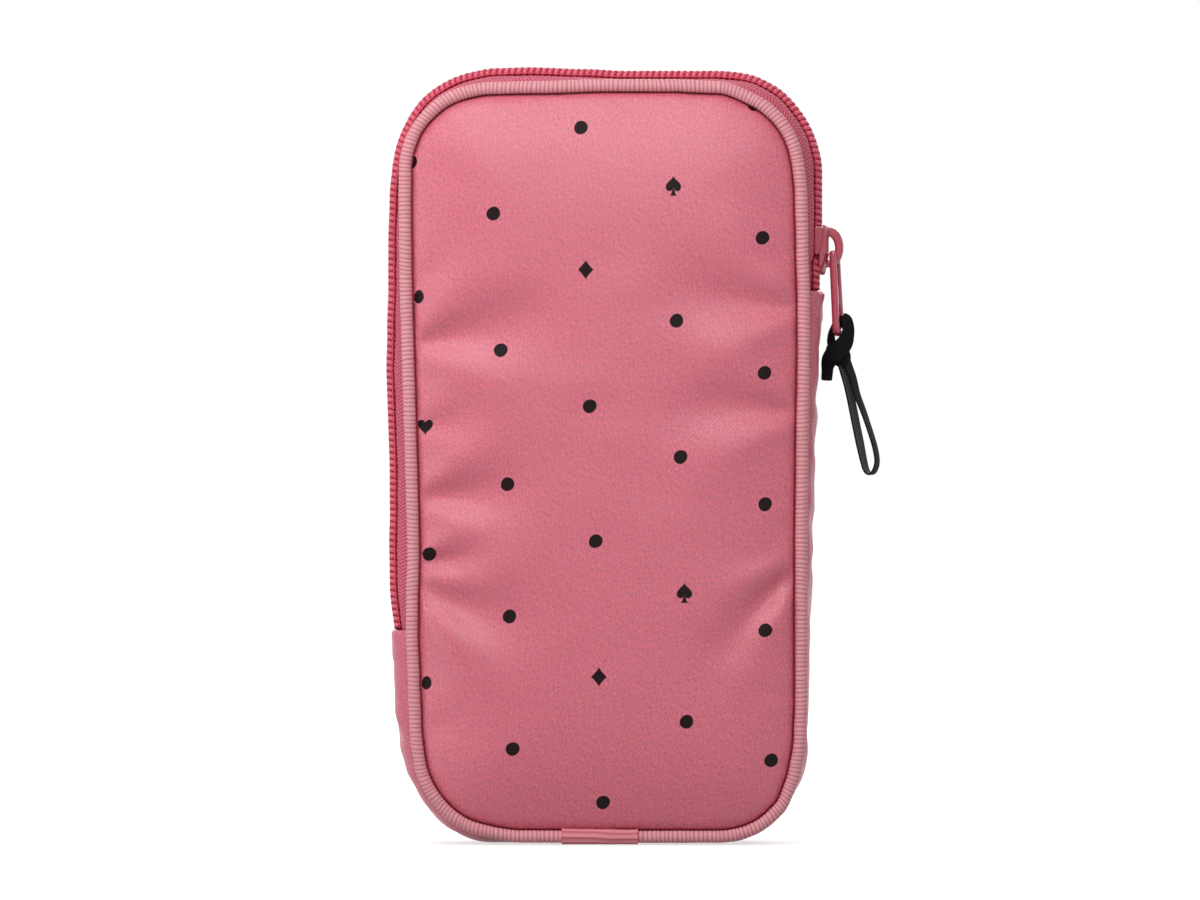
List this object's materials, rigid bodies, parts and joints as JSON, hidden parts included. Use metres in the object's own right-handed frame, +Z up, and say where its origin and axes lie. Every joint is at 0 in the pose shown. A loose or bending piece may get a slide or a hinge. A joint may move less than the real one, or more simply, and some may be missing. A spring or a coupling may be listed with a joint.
{
  "type": "padded zip pouch",
  "caption": "Upright padded pouch with piped front and back, a coil zip over three sides, a slider with pull tab, and a knotted ribbon loop.",
  "frame": {"origin": "middle of the flat bottom, on the surface that the pouch stands on", "axes": "+Z up along the pouch's height, -Y out of the printed front, +X towards the slider's side"},
  "size_m": [0.1259, 0.0406, 0.1943],
  "materials": {
    "printed_satin": "pink satin twill with a sparse dark print",
    "ribbed_piping": "light pink cross-ribbed ribbon",
    "plain_satin": "plain pink satin twill",
    "zip_tape": "woven zip tape",
    "zip_coil": "raspberry nylon coil",
    "painted_metal": "rose paint on die-cast metal",
    "black_ribbon": "black woven ribbon",
    "padding": "off-white wadding",
    "lining": "smooth pink lining",
    "piping_cord": "off-white twisted cord",
    "binding_tape": "woven binding tape"
  },
  "bodies": {
    "case": {"back_panel": "printed_satin", "front_panel_base": "printed_satin", "back_padding": "padding", "front_padding_base": "padding", "back_lining": "lining", "front_lining_base": "lining", "gusset_lining": "lining", "back_piping": "ribbed_piping", "front_piping_base": "ribbed_piping", "back_piping_splice": "ribbed_piping", "front_piping_splice": "ribbed_piping", "back_piping_cord": "piping_cord", "front_piping_cord_base": "piping_cord", "back_binding": "binding_tape", "front_binding_base": "binding_tape", "gusset": "plain_satin", "zip_tape_back": "zip_tape", "zip_tape_front_base": "zip_tape", "zip_coil_back": "zip_coil", "zip_coil_back_end": "zip_coil", "zip_coil_front_end": "zip_coil"},
    "flap": {"front_panel_flap": "printed_satin", "front_padding_flap": "padding", "front_lining_flap": "lining", "front_piping_flap": "ribbed_piping", "front_piping_cord_flap": "piping_cord", "front_binding_flap": "binding_tape", "zip_tape_front_flap": "zip_tape", "zip_coil_front": "zip_coil"},
    "slider": {"slider_body": "painted_metal", "slider_bail": "painted_metal"},
    "pull": {"pull_tab": "painted_metal"},
    "strap": {"strap_knot": "black_ribbon", "strap_loop": "black_ribbon"}
  },
  "joints": [
    {"name": "front_fold", "type": "hinge", "parent": "case", "child": "flap", "pos_m": [0, -0.0206, 0.1061], "axis": [0.7209, 0, 0.6931], "range_deg": [0, 90]},
    {"name": "slider_travel", "type": "slide", "parent": "case", "child": "slider", "axis": [0, 0, 1], "range_m": [-0.003, 0.011], "deforming": ["zip_coil_back_end", "zip_coil_front_end"]},
    {"name": "pull_swing", "type": "hinge", "parent": "slider", "child": "pull", "pos_m": [0.05765, 0, 0.14775], "axis": [-0.2079, -0.9781, 0], "range_deg": [0, 150]},
    {"name": "strap_swing", "type": "hinge", "parent": "pull", "child": "strap", "pos_m": [0.05867, -0.00022, 0.12788], "axis": [-0.2079, -0.9781, 0], "range_deg": [-5, 30]}
  ]
}
